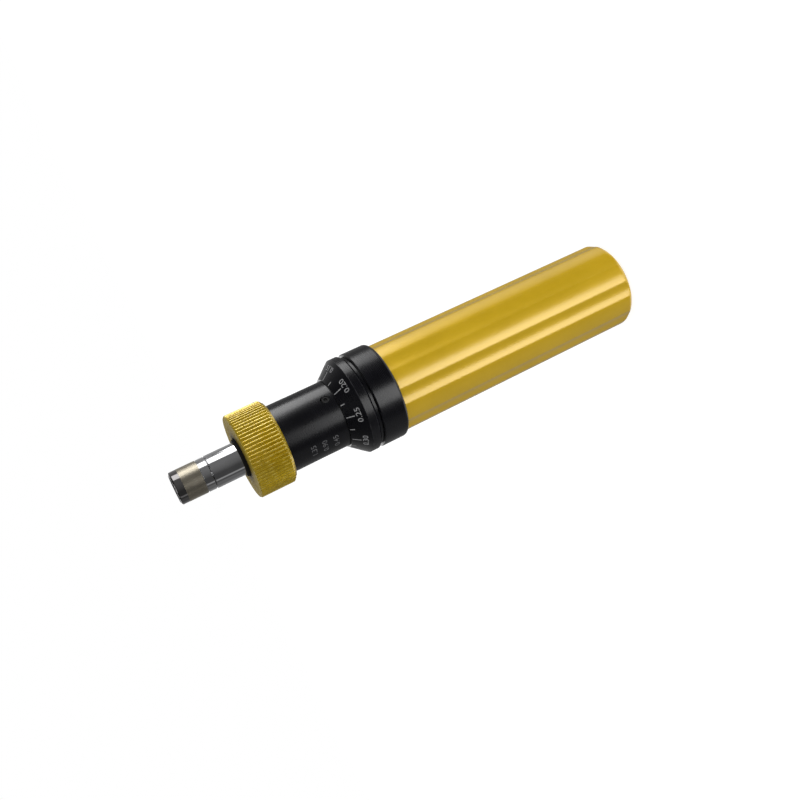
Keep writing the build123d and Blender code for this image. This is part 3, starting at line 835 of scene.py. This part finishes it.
def laid_text(name, words, size, stretch, lay, angle, along, radius):
    """Text as a solid mesh on a surface: x runs round the axis, y towards the tip.

    Its triangles are cut until no edge is longer than a third of a millimetre, so that it bends.
    """
    curve = bpy.data.curves.new(name, "FONT")
    curve.body = words
    curve.size = 1.0
    curve.extrude = text_depth
    curve.offset = bolder
    curve.resolution_u = curve_steps
    curve.align_x = "CENTER"
    maker = bpy.data.objects.new(name + "_maker", curve)
    scene.collection.objects.link(maker)
    bpy.context.view_layer.update()
    solid = maker.evaluated_get(bpy.context.evaluated_depsgraph_get())
    mesh = bpy.data.meshes.new_from_object(solid)
    bpy.data.objects.remove(maker)
    bpy.data.curves.remove(curve)
    work = bmesh.new()
    work.from_mesh(mesh)
    bmesh.ops.remove_doubles(work, verts=work.verts, dist=join_within)
    bmesh.ops.triangulate(work, faces=work.faces)
    for _ in range(rounds_of_cuts):
        wide = [e for e in work.edges if e.calc_length() * size / figure_height > longest_edge]
        bmesh.ops.subdivide_edges(work, edges=wide, cuts=1)
        bmesh.ops.triangulate(work, faces=work.faces)
    bmesh.ops.recalc_face_normals(work, faces=work.faces)
    work.to_mesh(mesh)
    work.free()
    flat = np.zeros(len(mesh.vertices) * 3)
    mesh.vertices.foreach_get("co", flat)
    flat = flat.reshape(-1, 3) * size / figure_height
    flat[:, 0] *= stretch
    above = np.where(flat[:, 2] > 0, text_proud, -text_sink)
    placed = lay(angle + flat[:, 0] / radius, along - flat[:, 1] + size / 2, above)
    mesh.vertices.foreach_set("co", (placed * MM).ravel())
    mesh.name = name
    mesh.update()
    return mesh


print("longest edge in a number:", longest_edge, "mm")

# %% Numbers on the dial
dial_text_size, dial_text_stretch = 1.95, 1.12
number_at, number_radius = 5.0, 16.0
number_first, number_step = 24.65, 40
number_count, number_value, number_shift = 9, 0.05, 4
for count in range(number_count):
    words = f"{(count + number_shift) % number_count * number_value:.2f}"
    text = laid_text(
        f"dial_number_{words}", words, dial_text_size, dial_text_stretch,
        on_cone, from_front(number_first - number_step * count), number_at, number_radius,
    )
    add_piece(text, "handle", "black_anodised", mark_white)

# %% [markdown]
# ## Barrel scale
# Each turn of the grip moves the dial's edge one lead along the barrel, so a number stands at each
# lead, with a line along the barrel to read the dial against.  These marks are made like the
# dial's, in a darker grey.

# %% Numbers and line on the barrel
row_angle = -46.0
rows = ((126.4, "0.45"), (130.65, "0.90"), (134.85, "1.35"))
row_size, row_stretch = 1.9, 1.05
for height, words in rows:
    text = laid_text(
        f"barrel_number_{words}", words, row_size, row_stretch,
        on_barrel, from_front(row_angle), dial_nose[1] - height, barrel_radius,
    )
    add_piece(text, "barrel", "black_anodised", mark_grey)
datum_angle, datum_front, datum_under_dial, datum_width = -78.0, 140.5, 17.0, 0.3
pad = pad_grid(
    on_barrel, from_front(datum_angle), dial_nose[1] - datum_front, datum_under_dial,
    datum_width, barrel_radius,
)
add_piece(closed_pads("barrel_line", [pad]), "barrel", "black_anodised", mark_grey)

# %% [markdown]
# ## Lock ring
# The lock ring has a straight knurl between two bevels, and a flat front round the shaft.  The
# knurl could be a bump in the material, but then the ring's outline would be smooth.  So its radius
# is the smaller of the turned blank and a zigzag round the axis, a little softened as a pressed
# knurl is.  The front face has a duller finish of its own, with painted shade that darkens it
# towards the hole.

# %% Dull face of the lock ring, with painted shade
# Tones of painted shade: darkest at the hole, lighter out to the rim.
face_shade_tones = (
    (0.46, (0.08, 0.057, 0.012)), (0.60, (0.24, 0.17, 0.022)), (0.93, (0.34, 0.25, 0.024)),
)
face_reach = 16 * MM
face_patch, face_rough, face_spread, face_shine = 0.002, 0.5, 0.2, 0.05


def make_shaded_ring_face():
    """Matt gold with painted shade, darker towards the hole by the distance from the axis."""
    material, tree, inputs = new_material("gold_face_shaded")
    share = maths(tree, "DIVIDE", axis_distance(tree, object_parts(tree)), face_reach)
    # The ramp paints shade onto the face, darker towards the hole.
    tree.links.new(ramp(tree, share, *face_shade_tones), inputs["Base Color"])
    cloud = use_group(tree, cloudiness, Patch_Size=face_patch, Contrast=1.0)
    rough = maths(tree, "MULTIPLY_ADD", cloud, face_spread, face_rough)
    tree.links.new(rough, inputs["Roughness"])
    inputs["Specular IOR Level"].default_value = face_shine
    return material


gold_face_shaded = make_shaded_ring_face()
print("tones of the face:", len(face_shade_tones))

# %% Outline of the lock ring
ring_radius, ring_rear, ring_front = 15.3, 143.0, 156.6
rear_bevel, front_bevel = (14.2, 144.1), (14.9, 156.2)
ring_hole, step_bore, nose_bore, skirt_bore = 7.2, 10.5, 9.95, 12.53
web_rear, step_rear, skirt_floor = 155.3, 153.6, 147.0
longest_step = 0.45


def finer(outline, edge, limit):
    """Outline with long runs divided, so that no step is longer than the limit."""
    closed, flags = np.vstack([outline, outline[:1]]), np.append(edge, edge[0])
    reach = np.concatenate([[0], np.cumsum(np.linalg.norm(np.diff(closed, axis=0), axis=1))])
    runs = [
        np.linspace(low, high, max(1, int(np.ceil((high - low) / limit))), endpoint=False)
        for low, high in zip(reach[:-1], reach[1:])
    ]
    stops = np.concatenate(runs)
    sampled = np.stack([np.interp(stops, reach, closed[:, k]) for k in range(2)], 1)
    return sampled, np.interp(stops, reach, flags)


outline, edge = finer(*rounded([
    (skirt_bore, ring_rear, 0.15), (rear_bevel[0], ring_rear, 0.15),
    (ring_radius, rear_bevel[1], 0.1), (ring_radius, front_bevel[1], 0.08),
    (front_bevel[0], ring_front, 0.12), (ring_hole, ring_front, 0.1),
    (ring_hole, web_rear, 0.1), (step_bore, web_rear, 0.1), (step_bore, step_rear, 0.1),
    (nose_bore, step_rear, 0.05), (nose_bore, skirt_floor, 0.05), (skirt_bore, skirt_floor, 0.1),
]), longest_step)
print("points on the outline:", len(outline))

# %% Knurl of the lock ring
knurl_count, knurl_top, knurl_low, knurl_steps = 72, 15.42, 14.72, 10
wave_share, straight_share, knurl_softness = 0.35, 0.65, 0.025
ridge_start, ridge_width, ridge_radius, worn_radius = 0.55, 0.3, 14.6, 13
radius, height, angle, edge = turned_grid(outline, edge, knurl_count * knurl_steps)
zigzag = np.abs(2 * ((angle * knurl_count / (2 * pi)) % 1.0) - 1)
wave, straight = 0.5 * np.cos(pi * zigzag), 0.5 * (1 - 2 * zigzag)
rise = 0.5 - wave * wave_share - straight * straight_share
knurl = knurl_low + (knurl_top - knurl_low) * rise
radius = softer_min(radius, knurl, knurl_softness)
# Crests get the worn colour: partly wear, partly a painted highlight.
crest_wear_and_highlight = np.clip((rise - ridge_start) / ridge_width, 0, 1) * (radius > ridge_radius)
worn_edge = np.maximum(crest_wear_and_highlight, edge * (radius > worn_radius))
points, faces, extra = ring_grid(around_axis(radius, height, angle), edge=worn_edge)
ring_mesh = mesh_from("lock_ring_dressed", points, faces, extra)
add_piece(ring_mesh, "lock_nut_ring", "gold_anodised", gold_knurled, "lock_ring")

# %% Faces of the lock ring that are dull and carry the painted shade
def corner_points(mesh):
    """Place of each face corner, one row for each, read as whole arrays."""
    spots = np.zeros(len(mesh.vertices) * 3, np.float32)
    mesh.vertices.foreach_get("co", spots)
    corner = np.zeros(len(mesh.loops), np.int32)
    mesh.loops.foreach_get("vertex_index", corner)
    return spots.reshape(-1, 3)[corner]


face_edge, face_above = 14.95, 150
ring_corners = corner_points(ring_mesh).reshape(-1, 4, 3) / MM
reach = np.hypot(ring_corners[:, :, 0], ring_corners[:, :, 1]).max(1)
on_face = (reach < face_edge) & (ring_corners[:, :, 2].min(1) > face_above)
ring_mesh.materials.append(gold_face_shaded)
ring_mesh.polygons.foreach_set("material_index", on_face.astype(np.int32))
print("dull faces:", int(on_face.sum()))

# %% [markdown]
# ## Dust seal
# A black rubber seal sits in the nose round the shaft, and its lip stands out a little in front of
# the lock ring.  It is a turned piece too: its own solid has no lip, so it is drawn anew.

# %% Dust seal surface
seal_bore, seal_radius, lip_radius = 6.04, 7.38, 6.75
seal_rear, seal_front, lip_front = 153.32, 154.2, 157.7
seal_corners = [
    (seal_bore, seal_rear, 0.05), (seal_radius, seal_rear, 0.05), (seal_radius, seal_front, 0.05),
    (lip_radius, seal_front, 0.05), (lip_radius, lip_front, 0.25), (seal_bore, lip_front, 0.1),
]
add_turned(
    "dust_seal_dressed", seal_corners, steps=4, columns=180, body="clutch_body",
    slot="seal_rubber", finish=rubber, node="dust_seal",
)

# %% [markdown]
# ## Chuck sleeve
# The quick-release sleeve is chromed, with a dull band where the fingers pull it and a polished lip
# at its mouth, darkened by painted shade.  Three materials on three runs of faces would need edges
# just there, so one material changes with the height instead.  The surface is turned like the
# others.

# %% Chuck sleeve finish
band_low, band_high = 171.45, 178.15
band_patch, band_rough = 0.004, 0.36
# The lip's darker colour is painted shade, standing in for a darker reflection at the mouth.
band_dark, band_light, lip_shade_colour = (0.38, 0.345, 0.27), (0.46, 0.42, 0.34), (0.27, 0.26, 0.26, 1.0)


def make_banded_chrome():
    """Polished chrome with a dull khaki band and a lip darkened by painted shade, by height."""
    material = make_finish("banded_chrome", **polished)
    tree = material.node_tree
    inputs = tree.nodes["Principled BSDF"].inputs
    chrome_colour = inputs["Base Color"].links[0].from_socket
    chrome_rough = inputs["Roughness"].links[0].from_socket
    height = object_parts(tree)["Z"]
    above = maths(tree, "GREATER_THAN", height, band_low * MM)
    below = maths(tree, "LESS_THAN", height, band_high * MM)
    inside = maths(tree, "MULTIPLY", above, below)
    in_lip_shade = maths(tree, "GREATER_THAN", height, band_high * MM)
    khaki, _ = clouded_colour(tree, band_patch, band_dark, band_light)
    colour = mixed_colour(tree, inside, chrome_colour, khaki)
    tree.links.new(mixed_colour(tree, in_lip_shade, colour, lip_shade_colour), inputs["Base Color"])
    gap = maths(tree, "SUBTRACT", band_rough, chrome_rough)
    rough = maths(tree, "MULTIPLY_ADD", gap, inside, chrome_rough)
    tree.links.new(rough, inputs["Roughness"])
    return material


banded_chrome = make_banded_chrome()
print("band:", round(band_high - band_low, 2), "mm wide")

# %% Chuck sleeve surface
sleeve_radius, sleeve_rear, sleeve_front = 5.87, 168.35, 181.0
sleeve_bevel = (5.72, 168.5)
land_bore, chamber_bore = 4.65, 5.15
line_floor, line_rear, line_front = 5.6, 171.24, 171.36
recess_rear, ramp_rear, ramp_front, chamber_rear = 170.05, 171.57, 173.24, 175.2
sleeve_corners = [
    (land_bore, sleeve_rear, 0.06), (sleeve_bevel[0], sleeve_rear, 0.05),
    (sleeve_radius, sleeve_bevel[1], 0.05), (sleeve_radius, line_rear, 0.02),
    (line_floor, line_rear, 0.02), (line_floor, line_front, 0.02),
    (sleeve_radius, line_front, 0.02), (sleeve_radius, sleeve_front, 0.68),
    (chamber_bore, sleeve_front, 0.02), (chamber_bore, chamber_rear, 0.05),
    (land_bore, chamber_rear, 0.05), (land_bore, ramp_front, 0.05),
    (chamber_bore, ramp_rear, 0.05), (chamber_bore, recess_rear, 0.05),
    (land_bore, recess_rear, 0.05),
]
add_turned(
    "chuck_sleeve_dressed", sleeve_corners, steps=6, columns=240, body="release_sleeve",
    slot="chrome", finish=banded_chrome, node="chuck_sleeve",
)

# %% [markdown]
# ## Pieces that keep their solid
# The other pieces that show have the right shape already, so nothing is drawn anew.  A copy of each
# has its triangles joined at their shared corners and is shaded smooth except across creases, so
# that round walls look round.

# %% Normals of round and flat walls
same_radius, square_to_wall, square_to_end, tiny = 5e-6, 0.97, 0.9999, 1e-9


def straight_normals(mesh):
    """Corner normals straight out from the axis on round walls, and along it on flat ends.

    A triangle lies on a round wall when its corners share one radius and its own normal has no part
    along the axis.  Long thin triangles beside a hole shade evenly with these normals.
    """
    own = np.zeros(len(mesh.polygons) * 3, np.float32)
    mesh.polygons.foreach_get("normal", own)
    normals = np.zeros(len(mesh.loops) * 3, np.float32)
    mesh.corner_normals.foreach_get("vector", normals)
    spots = corner_points(mesh).reshape(-1, 3, 3)
    own, normals = own.reshape(-1, 3), normals.reshape(-1, 3, 3)
    radius = np.linalg.norm(spots[:, :, :2], axis=2, keepdims=True)
    outward = np.concatenate([spots[:, :, :2] / np.maximum(radius, tiny), 0 * radius], 2)
    side = np.einsum("ij,ij->i", outward.mean(1), own)
    on_wall = (np.ptp(radius[:, :, 0], axis=1) < same_radius) & (np.abs(side) > square_to_wall)
    normals[on_wall] = outward[on_wall] * np.sign(side[on_wall])[:, None, None]
    flat = np.abs(own[:, 2]) > square_to_end
    normals[flat] = np.sign(own[flat, 2])[:, None, None] * np.array([0, 0, 1])
    mesh.normals_split_custom_set(normals.reshape(-1, 3))


print("walls count as round within", same_radius, "m")

# %% Smooth copies
join_corners, copy_crease = 2e-7, 28


def smooth_copy(node, body, slot, finish):
    """The node's own triangles with shared corners joined, smooth except at creases."""
    mesh = frame["nodes"][node].data.copy()
    mesh.name = node + "_dressed"
    work = bmesh.new()
    work.from_mesh(mesh)
    bmesh.ops.remove_doubles(work, verts=work.verts, dist=join_corners)
    work.to_mesh(mesh)
    work.free()
    mesh.shade_smooth()
    mesh.set_sharp_from_angle(angle=radians(copy_crease))
    straight_normals(mesh)
    add_piece(mesh, body, slot, finish, node)


members_of = frame["record"]["behaviour"]["bodies"]
bodies = {node: body for body, members in members_of.items() for node in members}
shown = {
    "collar": ("black_anodised", black_satin), "dial_grub_screws": ("steel", black_steel),
    "end_plug": ("black_anodised", black_satin), "scale_sleeve": ("black_anodised", black_satin),
    "key_screw_1": ("steel", black_steel), "key_screw_2": ("steel", black_steel),
    "clutch_housing": ("steel", black_satin), "nose_clip": ("spring_steel", black_steel),
    "front_bush": ("bronze", bronze), "output_shaft": ("chrome", chrome),
    "chuck_clip": ("spring_steel", spring_steel), "detent_ball": ("steel", bright_steel),
}
for node, (slot, finish) in shown.items():
    smooth_copy(node, bodies[node], slot, finish)

# %% [markdown]
# ## Springs
# A spring lies between two bodies that move towards each other, and a rigid copy would cut through
# one of them.  The table names both bodies and the heights of its two ends, but the copy is only
# baked where it stands.

# %% Springs between two bodies
springs = {
    "main_spring": ("spring_end", "clutch_body", 27.54, 120.63),
    "chuck_spring": ("output", "release_sleeve", 179.38, 175.22),
}
for node, (still, moving, start, end) in springs.items():
    ends = (still, moving, (0, 0, start * MM), (0, 0, end * MM))
    smooth_copy(node, ends, "spring_steel", spring_steel)

# %% [markdown]
# ## Pieces inside
# The pieces deep inside keep their solids as they are and only get a finish, chosen by the slot
# that the record gives them.

# %% Finishes for the pieces inside
finish_by_slot = {
    "gold_anodised": gold_satin, "black_anodised": black_satin, "chrome": chrome,
    "steel": bright_steel, "spring_steel": spring_steel, "bronze": bronze, "seal_rubber": rubber,
}
for node in frame["nodes"].values():
    finish = finish_by_slot[node.material_slots[0].material.name]
    for slot in node.material_slots:
        slot.material = finish
print("pieces inside:", sum(not node.hide_render for node in frame["nodes"].values()))
